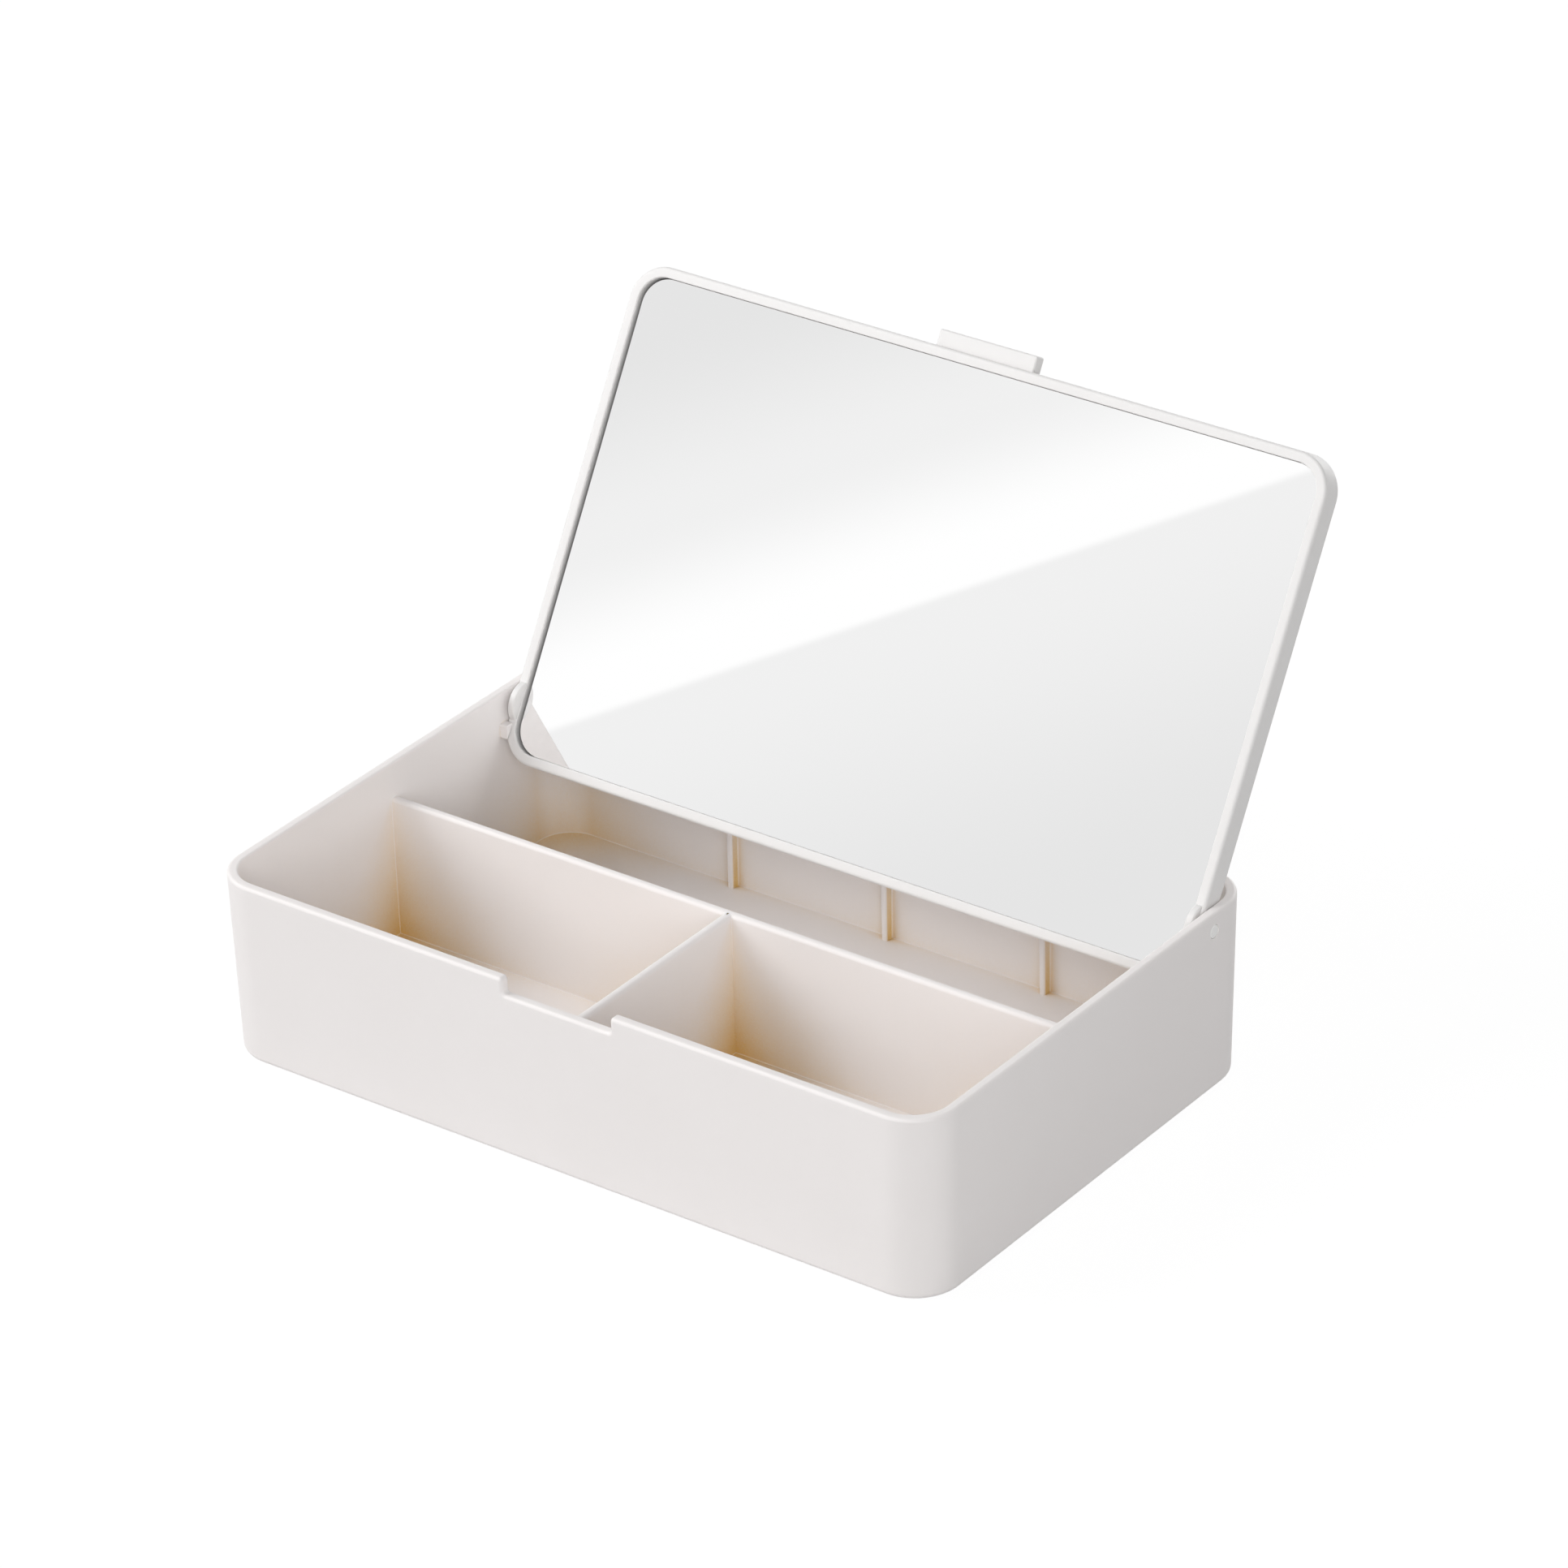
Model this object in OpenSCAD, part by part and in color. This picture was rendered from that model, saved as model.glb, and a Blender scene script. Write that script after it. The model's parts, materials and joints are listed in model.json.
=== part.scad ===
// Vanity box: an open moulded tray with three compartments, and a lid that
// carries a mirror on its inner side and stands open, leaning back.
// Millimetres, +Z up, the front faces -Y. The origin is the middle of the
// underside, on the surface that the box stands on.

/* [Tray] */
// Width of the tray across its rim
tray_w = 220; // [180:1:280]
// Depth of the tray across its rim
tray_d = 141.6; // [120:0.2:200]
// Height of the tray from its underside to its rim
tray_h = 51.2; // [44:0.2:80]
// Thickness of the four walls
wall_t = 2.8; // [2.4:0.1:3.6]
// Thickness of the floor
floor_t = 2; // [1.6:0.1:4]
// Radius of the four outside corners, seen from above
corner_r = 12.8; // [10:0.2:18]
// How far each wall leans in from the rim to the underside
wall_draft = 1; // [0.4:0.1:1.6]
// Radius of the edge between the walls and the underside
foot_r = 1.6; // [0.8:0.1:2.4]
// Radius of the outer edge of the rim
rim_r = 1; // [0.4:0.1:1.2]
// Radius where the floor turns up into the walls
floor_r = 1.6; // [1:0.2:4]

/* [Finger notch] */
// Width of the notch in the front of the rim
notch_w = 33; // [20:1:50]
// Depth of the notch below the rim
notch_d = 4.5; // [4:0.1:6]

/* [Dividers] */
// Thickness of the dividers near their top
divider_t = 2.6; // [2:0.1:3.6]
// How much thicker a divider is at the floor than at its top
divider_draft = 0.5; // [0:0.1:1]
// Height left free between the dividers and the shut lid
divider_gap = 2; // [1.5:0.1:6]
// Radius along the foot of the dividers
divider_foot_r = 1.2; // [0.6:0.2:2]
// Radius of the dividers' top edges
divider_edge_r = 1.1; // [0.4:0.1:1.3]

/* [Rear ribs] */
// Number of upright ribs on the rear wall
rib_count = 3; // [1:1:5]
// Distance from one rib to the next
rib_pitch = 49.2; // [35:0.2:52]
// Thickness of a rib
rib_t = 1.8; // [1.2:0.1:2.4]
// How far a rib stands out from the wall
rib_out = 2.4; // [1.4:0.1:3]

/* [Lid] */
// Thickness of the lid
lid_t = 7; // [6.4:0.1:9]
// How far the shut lid lies below the rim
lid_sink = 0.7; // [0.3:0.1:1.5]
// Gap between the shut lid and each side wall
side_gap = 0.25; // [0.15:0.05:0.8]
// Gap between the shut lid and the front wall, and the rear wall
end_gap = 0.55; // [0.4:0.05:1]
// Width of the lip round the mirror
lip_w = 2.8; // [2.2:0.1:4]
// Radius of the lid's outer edge
lid_edge_r = 1; // [0.8:0.1:2]
// Radius of the lip's outer edge, on the mirror side
lip_edge_r = 0.9; // [0.3:0.1:1]
// Angle between the shut lid and the open one
open_angle = 120.4; // [105:0.2:125]

/* [Mirror] */
// Thickness of the glass
mirror_t = 2; // [1.6:0.1:2.4]
// How far the glass lies below the lip
mirror_set = 1; // [0.8:0.1:2]
// Gap between the edge of the glass and the lip
mirror_gap = 0.3; // [0.2:0.1:1]
// Thickness of the adhesive strips behind the glass
tape_t = 1; // [0.5:0.1:1.2]
// Width of an adhesive strip
tape_w = 14; // [8:1:20]
// Distance from the ends of an adhesive strip to the edge of the glass
tape_end = 14; // [6:1:30]

/* [Hinge] */
// Diameter of the hinge pins
pin_d = 3.6; // [3:0.1:4.4]
// Clearance between a pin and its hole, on the radius
pin_gap = 0.06; // [0.03:0.01:0.09]
// Distance of the pins from the mirror side of the lid
pin_in = 2.6; // [2.4:0.1:3.4]
// Distance of the pins from the rear edge of the lid
pin_back = 15.4; // [12:0.2:20]
// How far a pin's end stays inside the outer face of the wall
pin_short = 0.2; // [0.1:0.1:0.6]
// Radius of the ear round each pin
ear_r = 5.8; // [4.5:0.1:6.6]
// Thickness of an ear
ear_t = 2; // [1.6:0.1:2.4]
// How far an ear lies inside the side of the lid
ear_in = 0.7; // [0.2:0.1:1.2]
// Clearance between the lid and what it rests on, open or shut
rest_gap = 0.2; // [0.1:0.05:0.3]
// How far the stops for the open lid stand out from the side walls
stop_out = 2.2; // [1.6:0.1:2.6]
// Distance from the rear edge of the lid to the foot of its stops
stop_low = 5.2; // [4:0.1:7]
// Depth of the foot of a stop, in front of the open lid
stop_foot = 0.4; // [0.3:0.1:2]
// Clearance between the swinging lid and what it passes
swing_gap = 1; // [0.6:0.1:2]

/* [Finger tab] */
// Gap on each side of the tab in the notch
tab_gap = 1.5; // [0.6:0.1:3]
// How far the tab stands out in front of the shut tray
tab_out = 0.8; // [0:0.1:3]
// Radius of the tab's edges
tab_edge_r = 0.6; // [0.3:0.1:1]

/* [Hidden] */

// Fineness of round faces that stay exact, and of the corners of rounded bodies
$fn = 72;
corner_fn = 48;
edge_steps = 4;

// A cut runs this far past the face that it opens, and a rib starts this deep in its wall
past = 1;
bite = 0.8;

// How far the walls have leaned in at height z
function lean(z) = wall_draft * (1 - z / tray_h);
// Half the width and half the depth between the walls at height z
function inside_x(z) = tray_w / 2 - wall_t - lean(z);
function inside_y(z) = tray_d / 2 - wall_t - lean(z);
inside_r = corner_r - wall_t;

// The shut lid, between its mirror side and its outer side
lid_bottom_z = tray_h - lid_sink - lid_t;
lid_top_z = lid_bottom_z + lid_t;
lid_w = 2 * (inside_x(lid_bottom_z) - side_gap);
lid_l = 2 * (inside_y(lid_bottom_z) - end_gap);
recess_d = mirror_set + mirror_t + tape_t;
mirror_w = lid_w - 2 * (lip_w + mirror_gap);
mirror_l = lid_l - 2 * (lip_w + mirror_gap);
lip_r = inside_r - lip_w;
mirror_r = lip_r - mirror_gap;
tape_l = mirror_l - 2 * tape_end;
tape_x = mirror_w / 2 - tape_end - tape_w / 2;

// The hinge's axis, and how far the rear corners of the lid reach from it
pin_y = lid_l / 2 - pin_back;
pin_z = lid_bottom_z + pin_in;
swing_r = norm([pin_back, lid_t - pin_in]);
pin_end_x = tray_w / 2 - lean(pin_z) - pin_short;

divider_top_z = lid_bottom_z - divider_gap;
notch_z = tray_h - notch_d;
tab_w = notch_w - 2 * tab_gap;
tab_bottom_z = notch_z + rest_gap;
tab_front_y = -(tray_d / 2 + tab_out);

// The ribs end below the path of the lid's rear corners
rib_front_y = inside_y(floor_t) - rib_out;
rib_swing = sqrt(max(0, pow(swing_r, 2) - pow(rib_front_y - pin_y, 2)));
rib_top_z = pin_z - rib_swing - swing_gap;

// The open lid's mirror side: the direction along it from its rear edge, and a point on it
// u along the lid from its rear edge and v in front of its mirror side
function open_dir(a) = [cos(a), sin(a)];
function on_open_lid(u, v) =
    [pin_y, pin_z]
    + (u - pin_back) * open_dir(180 - open_angle)
    - (pin_in + v) * open_dir(90 - open_angle);
stop_top_u = pin_back - sqrt(pow(ear_r + swing_gap / 2, 2) - pow(pin_in, 2));

// Points along an arc about c, from angle a0 to angle a1
function arc(c, r, a0, a1) =
    [for (i = [0 : edge_steps]) let (a = a0 + (a1 - a0) * i / edge_steps) c + r * [cos(a), sin(a)]];

// A disc on the floor z = 0 with a rounded lower edge of radius edge, edge high
module foot_disc(r, edge) {
    rotate_extrude($fn = corner_fn)
        polygon(concat([[0, 0]], arc([r - edge, edge], edge, -90, 0), [[0, edge]]));
}

// A disc under the ceiling z = 0 with a rounded upper edge
module head_disc(r, edge) {
    mirror([0, 0, 1]) foot_disc(r, edge);
}

// Copies of the child at the four corners of a rectangle, set in by r
module at_corners(half_x, half_y, r) {
    for (sx = [-1, 1], sy = [-1, 1])
        translate([sx * (half_x - r), sy * (half_y - r), 0]) children();
}

// A flat outline with true round corners
module rounded_rect(w, l, r) {
    square([w - 2 * r, l], center = true);
    square([w, l - 2 * r], center = true);
    for (sx = [-1, 1], sy = [-1, 1])
        translate([sx * (w / 2 - r), sy * (l / 2 - r)]) circle(r);
}

// An upright profile in Y and Z, extruded along X and centred on it
module extruded_x(length) {
    rotate([90, 0, 90]) linear_extrude(height = length, center = true) children();
}

module tray_outside() {
    hull() {
        at_corners(tray_w / 2 - lean(foot_r), tray_d / 2 - lean(foot_r), corner_r)
            foot_disc(corner_r, foot_r);
        at_corners(tray_w / 2, tray_d / 2, corner_r)
            translate([0, 0, tray_h]) head_disc(corner_r, rim_r);
    }
}

module tray_inside() {
    floor_z = floor_t + floor_r;
    hull() {
        at_corners(inside_x(floor_z), inside_y(floor_z), inside_r)
            translate([0, 0, floor_t]) foot_disc(inside_r, floor_r);
        at_corners(inside_x(tray_h), inside_y(tray_h), inside_r)
            translate([0, 0, tray_h]) cylinder(h = past, r = inside_r, $fn = corner_fn);
    }
}

// Half of a divider's outline: rounded top edge, slight taper, flared foot
function divider_side() =
    let (top = divider_t / 2, foot = (divider_t + divider_draft) / 2)
    concat(
        arc([top - divider_edge_r, divider_top_z - divider_edge_r], divider_edge_r, 90, 0),
        arc([foot + divider_foot_r, floor_t + divider_foot_r], divider_foot_r, 180, 270),
        [[foot + divider_foot_r, floor_t - bite]]);

module divider(length) {
    side = divider_side();
    last = len(side) - 1;
    extruded_x(length)
        polygon(concat(side, [for (i = [last : -1 : 0]) [-side[i][0], side[i][1]]]));
}

module long_divider() {
    divider(2 * (inside_x(floor_t) + bite));
}

module short_divider() {
    length = inside_y(floor_t) + bite;
    translate([0, -length / 2, 0]) rotate([0, 0, 90]) divider(length);
}

module rear_ribs() {
    wall_y = inside_y(floor_t) + bite;
    for (i = [0 : rib_count - 1])
        translate([(i - (rib_count - 1) / 2) * rib_pitch, 0, 0])
            extruded_x(rib_t)
                polygon([
                    [rib_front_y, floor_t - bite],
                    [wall_y, floor_t - bite],
                    [wall_y, rib_top_z],
                    [rib_front_y + rib_out / 2, rib_top_z],
                    [rib_front_y, rib_top_z - rib_out]]);
}

// A wedge on each side wall: the open lid leans against its sloping rear face
module lid_stops() {
    foot = on_open_lid(stop_low, rest_gap);
    top = on_open_lid(stop_top_u, rest_gap);
    depth = stop_out + bite;
    wall_x = inside_x(foot[1]);
    for (sx = [-1, 1])
        translate([sx * (wall_x - stop_out + depth / 2), 0, 0])
            extruded_x(depth)
                polygon([foot, top, [foot[0] - stop_foot, top[1]], [foot[0] - stop_foot, foot[1]]]);
}

module finger_notch() {
    translate([-notch_w / 2, -tray_d / 2 - past, notch_z])
        cube([notch_w, wall_t + 2 * past, notch_d + past]);
}

module hinge_holes() {
    for (sx = [-1, 1])
        translate([sx * (tray_w / 2 - wall_t / 2), pin_y, pin_z])
            rotate([0, 90, 0])
                cylinder(h = wall_t + 2 * past, r = pin_d / 2 + pin_gap, center = true);
}

module tray() {
    color("antiquewhite")
        difference() {
            union() {
                difference() {
                    tray_outside();
                    tray_inside();
                }
                long_divider();
                short_divider();
                rear_ribs();
                lid_stops();
            }
            finger_notch();
            hinge_holes();
        }
}

// Everything on the lid is drawn shut, and this swings it open about the pins
module swung_open() {
    translate([0, pin_y, pin_z])
        rotate([-open_angle, 0, 0])
            translate([0, -pin_y, -pin_z]) children();
}

module lid_body() {
    hull() {
        at_corners(lid_w / 2, lid_l / 2, inside_r) {
            translate([0, 0, lid_bottom_z]) foot_disc(inside_r, lip_edge_r);
            translate([0, 0, lid_top_z]) head_disc(inside_r, lid_edge_r);
        }
    }
}

module mirror_recess() {
    translate([0, 0, lid_bottom_z - past])
        linear_extrude(height = past + recess_d)
            rounded_rect(lid_w - 2 * lip_w, lid_l - 2 * lip_w, lip_r);
}

// A round ear about each pin stands out from the lip
module ears() {
    for (sx = [-1, 1])
        translate([sx * (lid_w / 2 - ear_in - ear_t / 2), 0, 0])
            extruded_x(ear_t)
                intersection() {
                    translate([pin_y, pin_z]) circle(ear_r);
                    translate([pin_y - ear_r, pin_z - ear_r])
                        square([2 * ear_r, lid_top_z - lid_edge_r - pin_z + ear_r]);
                }
}

module pins() {
    length = pin_end_x - lid_w / 2 + lip_w / 2;
    for (sx = [-1, 1])
        translate([sx * (pin_end_x - length / 2), pin_y, pin_z])
            rotate([0, 90, 0]) cylinder(h = length, r = pin_d / 2, center = true);
}

module finger_tab() {
    root_y = -lid_l / 2 + lip_w / 2;
    extruded_x(tab_w)
        polygon(concat(
            [[root_y, tab_bottom_z]],
            [[root_y, lid_top_z]],
            arc([tab_front_y + tab_edge_r, lid_top_z - tab_edge_r], tab_edge_r, 90, 180),
            arc([tab_front_y + tab_edge_r, tab_bottom_z + tab_edge_r], tab_edge_r, 180, 270)));
}

module lid_frame() {
    color("ivory")
        swung_open() {
            difference() {
                lid_body();
                mirror_recess();
            }
            ears();
            pins();
            finger_tab();
        }
}

module mirror_glass() {
    color("lightgrey")
        swung_open()
            translate([0, 0, lid_bottom_z + mirror_set])
                linear_extrude(height = mirror_t) rounded_rect(mirror_w, mirror_l, mirror_r);
}

module tape(x) {
    color("white")
        swung_open()
            translate([x - tape_w / 2, -tape_l / 2, lid_bottom_z + recess_d - tape_t])
                cube([tape_w, tape_l, tape_t]);
}

tray();
lid_frame();
mirror_glass();  // mirror
tape(-tape_x);  // tape_left
tape(0);  // tape_middle
tape(tape_x);  // tape_right
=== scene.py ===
"""Vanity box with a mirror in its lid: fine moulded shapes, materials, light and camera.

The pieces' lengths are in millimetres until a mesh is made, which turns them into metres.
Materials and the stage are in metres. Angles are in degrees. The lid's pieces are drawn shut,
and then swung open about the hinge.
"""

import json
import math

import bmesh
import bpy
from mathutils import Matrix, Vector


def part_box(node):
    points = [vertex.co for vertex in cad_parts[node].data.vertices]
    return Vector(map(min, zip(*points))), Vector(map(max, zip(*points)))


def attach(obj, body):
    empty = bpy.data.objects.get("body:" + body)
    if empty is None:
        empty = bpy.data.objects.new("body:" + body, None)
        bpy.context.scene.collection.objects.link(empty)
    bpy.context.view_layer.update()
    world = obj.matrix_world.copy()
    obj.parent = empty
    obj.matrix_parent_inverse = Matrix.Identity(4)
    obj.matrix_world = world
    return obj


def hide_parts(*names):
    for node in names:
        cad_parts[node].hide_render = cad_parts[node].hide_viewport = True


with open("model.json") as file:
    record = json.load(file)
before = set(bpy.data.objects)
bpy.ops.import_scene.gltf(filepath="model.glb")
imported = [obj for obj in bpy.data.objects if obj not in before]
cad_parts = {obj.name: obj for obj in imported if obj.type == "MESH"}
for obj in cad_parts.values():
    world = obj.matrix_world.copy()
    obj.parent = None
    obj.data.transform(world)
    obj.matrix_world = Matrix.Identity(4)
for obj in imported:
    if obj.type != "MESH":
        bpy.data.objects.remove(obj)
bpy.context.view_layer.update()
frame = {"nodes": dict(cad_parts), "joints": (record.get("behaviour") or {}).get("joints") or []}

MM = 0.001

# How finely round shapes are divided, and how meshes meet
CORNER_STEPS = 20
EDGE_STEPS = 6
BLOCK_STEPS = 4
PIN_STEPS = 48
EAR_STEPS = 32
ROUND_PROFILE = 0.5
SHARP_ANGLE = 38
LARGE_FACES_LEAD = 100
LEAST_R = 0.02
WELD = 0.001     # points closer than this become one
BITE = 0.8       # how far a part reaches into what it grows from
CUT_PAST = 2.0   # how far a cutter reaches past what it cuts

# Tray
tray_low, tray_high = (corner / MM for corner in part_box("tray"))
TRAY_W, TRAY_D, TRAY_H = tray_high - tray_low
WALL_T = 2.8
FLOOR_T = 2.0
CORNER_R = 12.8
INSIDE_R = CORNER_R - WALL_T
WALL_DRAFT = 1.0
FOOT_R = 1.6
RIM_R = 1.0
RIM_IN_R = 0.55
FLOOR_R = 0.2

# Finger notch
NOTCH_W = 33.0
NOTCH_D = 4.5
NOTCH_TOP_R = 1.15
NOTCH_FOOT_R = 0.9

# Dividers
DIVIDER_T = 2.6
DIVIDER_DRAFT = 0.5
DIVIDER_TOP = 41.5
DIVIDER_EDGE_R = 1.1
DIVIDER_FOOT_R = 0.2
DIVIDER_END_R = 0.18
JUNCTION_R = 0.18

# Ribs on the rear wall. The crown's points are (below the top, behind the front).
RIB_PITCH = 49.2
RIB_T = 1.8
RIB_OUT = 2.4
RIB_TOP = 35.4
RIB_EDGE_R = 0.5
RIB_FOOT_R = 0.4
RIB_CROWN = ((0.3, 0.9), (0.08, 1.08), (0.0, 1.3))

# Hinge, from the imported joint
hinge = frame["joints"][0]
PIN_Y, PIN_Z = hinge["pos_m"][1] / MM, hinge["pos_m"][2] / MM
OPEN_ANGLE = hinge["range_deg"][1]
PIN_R = 1.8
PIN_GAP = 0.06
PIN_SHORT = 0.02  # from the wall's outer face to the pin's end
PIN_EDGE_R = 0.3
PIN_IN = 2.6      # from the lid's mirror side to the axis
PIN_BACK = 15.4   # from the lid's rear edge to the axis
HOLE_CHAMFER = 0.08
EAR_R = 5.8
EAR_T = 2.0
EAR_IN = 0.7
EAR_EDGE_R = 0.45

# Stops, whose sloping faces lie along the open lid from LOW to HIGH
REST_GAP = 0.2
STOP_OUT = 2.2
STOP_LOW = 5.2
STOP_HIGH = 9.66
STOP_FOOT = 0.4
STOP_EDGE_R = 0.3

# Lid and its recess
LIP_W = 2.8
MIRROR_GAP = 0.3
mirror_low, mirror_high = (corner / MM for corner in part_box("mirror"))
MIRROR_W = mirror_high.x - mirror_low.x
LID_W = MIRROR_W + 2 * (LIP_W + MIRROR_GAP)
LID_L = 2 * (PIN_Y + PIN_BACK)
LID_T = 7.0
LID_BOTTOM = PIN_Z - PIN_IN
LID_TOP = LID_BOTTOM + LID_T
LID_EDGE_R = 1.0
LIP_EDGE_R = 0.9
LIP_IN_R = 0.3
RECESS_D = 4.0

# Mirror pane: shorter than the solid on the left, and a little longer on its other sides
MIRROR_L = LID_L - 2 * (LIP_W + MIRROR_GAP)
MIRROR_T = 2.0
MIRROR_SET = 1.0
MIRROR_BEVEL = 0.12
PANE_LEFT = 0.62
PANE_SNUG = 0.28
PANE_TOP = 0.22
PANE_CORNER = 0.45

# Finger tab
TAB_W = 30.0
TAB_OUT = 0.8
TAB_BOTTOM = TRAY_H - NOTCH_D + REST_GAP
TAB_EDGE_R = 0.6

# Material slots after a piece's first one
STOP_SLOT = 1
PIN_SLOT = 1
EDGE_SLOT = 1
BACK_SLOT = 2
EDGE_TILT = 0.5   # a face of the pane that is less level than this belongs to its edge


# Outlines and meshes

def lean(z):
    """How far the tray's walls have leaned in at height z."""
    return WALL_DRAFT * (1 - z / TRAY_H)


def inside_x(z):
    """Half of the tray's inner width at height z."""
    return TRAY_W / 2 - WALL_T - lean(z)


def inside_y(z):
    """Half of the tray's inner depth at height z."""
    return TRAY_D / 2 - WALL_T - lean(z)


def arc(cx, cy, r, start, end, steps=EDGE_STEPS):
    """Points on a round stretch, from one angle to another in degrees."""
    angles = [math.radians(start + (end - start) * i / steps) for i in range(steps + 1)]
    return [(cx + r * math.cos(a), cy + r * math.sin(a)) for a in angles]


def rounded_ring(half_x, half_y, r, z):
    """A level outline with round corners, from the right end of the front side onwards."""
    points = []
    for sx, sy, start in ((1, -1, -90), (1, 1, 0), (-1, 1, 90), (-1, -1, 180)):
        corner = arc(sx * (half_x - r), sy * (half_y - r), r, start, start + 90, CORNER_STEPS)
        points += [(x, y, z) for x, y in corner]
    return points


class Shape:
    """Points in millimetres and faces, gathered for one mesh."""

    def __init__(self):
        self.points = []
        self.faces = []

    def ring(self, points):
        """Takes in a row of points and gives their numbers."""
        first = len(self.points)
        self.points += points
        return list(range(first, len(self.points)))

    def strip(self, a, b, closed=True):
        """Faces between two rings that have equally many points."""
        last = len(a) if closed else len(a) - 1
        for i in range(last):
            j = (i + 1) % len(a)
            self.faces.append((a[i], a[j], b[j], b[i]))

    def skin(self, loops):
        """A closed body over a row of closed outlines."""
        rings = [self.ring(loop) for loop in loops]
        for a, b in zip(rings, rings[1:]):
            self.strip(a, b)
        self.faces.append(tuple(rings[0]))
        self.faces.append(tuple(rings[-1]))

    def mesh(self, name):
        """The mesh in metres, with its seams closed and its faces turned outwards."""
        data = bpy.data.meshes.new(name)
        data.from_pydata([Vector(p) * MM for p in self.points], [], self.faces)
        work = bmesh.new()
        work.from_mesh(data)
        bmesh.ops.remove_doubles(work, verts=work.verts, dist=WELD * MM)
        bmesh.ops.recalc_face_normals(work, faces=work.faces)
        work.to_mesh(data)
        work.free()
        return data


def new_object(name, data):
    """A new object in the scene, at the origin."""
    obj = bpy.data.objects.new(name, data)
    bpy.context.scene.collection.objects.link(obj)
    return obj


def smooth(obj):
    """Smooth faces, sharp edges above an angle, and flat faces that stay flat."""
    obj.data.shade_smooth()
    obj.data.set_sharp_from_angle(angle=math.radians(SHARP_ANGLE))
    flat = obj.modifiers.new("flat_faces", "WEIGHTED_NORMAL")
    flat.keep_sharp = True
    flat.weight = LARGE_FACES_LEAD


def cut(obj, cutter):
    """Takes the cutter out of a mesh and deletes the cutter."""
    step = obj.modifiers.new("cut", "BOOLEAN")
    step.operation = "DIFFERENCE"
    step.solver = "EXACT"
    step.object = cutter
    graph = bpy.context.evaluated_depsgraph_get()
    data = bpy.data.meshes.new_from_object(obj.evaluated_get(graph))
    obj.modifiers.clear()
    obj.data = data
    bpy.data.objects.remove(cutter)


def join(name, *parts):
    """One mesh out of several."""
    work = bmesh.new()
    for part in parts:
        work.from_mesh(part)
    joined = bpy.data.meshes.new(name)
    work.to_mesh(joined)
    work.free()
    return joined


def in_slot(data, index):
    """Gives all of a mesh one of its object's material slots."""
    for face in data.polygons:
        face.material_index = index
    return data


def rounded_block(outline, x0, x1, edge_r):
    """A prism along X over an outline in Y and Z, with round edges, as a mesh."""
    shape = Shape()
    shape.skin([[(x, y, z) for y, z in outline] for x in (x0, x1)])
    data = shape.mesh("block")
    work = bmesh.new()
    work.from_mesh(data)
    bmesh.ops.bevel(
        work, geom=work.edges[:], affect="EDGES", offset=edge_r * MM, offset_type="OFFSET",
        segments=BLOCK_STEPS, profile=ROUND_PROFILE,
    )
    work.to_mesh(data)
    work.free()
    return data


def turned(name, profile):
    """A closed body of revolution about the hinge's axis, over (x, radius) pairs, as a mesh."""
    shape = Shape()
    shape.skin([
        [(x, y, z) for y, z in arc(PIN_Y, PIN_Z, r, 0, 360, PIN_STEPS)[:-1]]
        for x, r in profile
    ])
    return shape.mesh(name)


# Tray shell: one skin from the underside over the rim to the floor inside

def tray_ring(inset, z):
    """A level outline of the tray, inset from its outer face at height z."""
    r = CORNER_R - inset
    return rounded_ring(TRAY_W / 2 - lean(z) - inset, TRAY_D / 2 - lean(z) - inset, r, z)


def notch_dip(inset, depth):
    """The rim's dip at the finger notch, from left to right, at a depth under the rim."""
    side, low = NOTCH_W / 2, TRAY_H - NOTCH_D
    top_z, foot_z = TRAY_H - NOTCH_TOP_R, low + NOTCH_FOOT_R
    path = arc(-side - NOTCH_TOP_R, top_z, NOTCH_TOP_R - depth, 90, 0)
    path += arc(-side + NOTCH_FOOT_R, foot_z, NOTCH_FOOT_R + depth, 180, 270)
    path += arc(side - NOTCH_FOOT_R, foot_z, NOTCH_FOOT_R + depth, 270, 360)
    path += arc(side + NOTCH_TOP_R, top_z, NOTCH_TOP_R - depth, 180, 90)
    return [(x, -(TRAY_D / 2 - lean(z) - inset), z) for x, z in path]


def front_face(shape, plain, dipped):
    """Joins a ring without the dip to one with it. The front between them is one face."""
    corners = len(plain)
    shape.strip(plain, dipped[:corners], closed=False)
    front = [plain[-1], plain[0], dipped[0]] + dipped[:corners - 1:-1] + [dipped[corners - 1]]
    shape.faces.append(tuple(front))


def tray_shell():
    """The tray's walls and floor, with the rim dipping through the notch, as a mesh."""
    shape = Shape()
    foot_edge = arc(FOOT_R, FOOT_R, FOOT_R, 270, 180)
    rim_edge = arc(RIM_R, TRAY_H - RIM_R, RIM_R, 180, 90)
    rim_edge += arc(WALL_T - RIM_IN_R, TRAY_H - RIM_IN_R, RIM_IN_R, 90, 0)
    floor_edge = arc(WALL_T + FLOOR_R, FLOOR_T + FLOOR_R, FLOOR_R, 180, 270)
    foot = [shape.ring(tray_ring(inset, z)) for inset, z in foot_edge]
    rim = [
        shape.ring(tray_ring(inset, z) + notch_dip(inset, TRAY_H - z))
        for inset, z in rim_edge
    ]
    floor = [shape.ring(tray_ring(inset, z)) for inset, z in floor_edge]
    for rings in (foot, rim, floor):
        for a, b in zip(rings, rings[1:]):
            shape.strip(a, b)
    front_face(shape, foot[-1], rim[0])
    front_face(shape, floor[0], rim[-1])
    shape.faces.append(tuple(foot[0]))
    shape.faces.append(tuple(floor[-1]))
    return shape.mesh("tray_shell")


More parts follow.
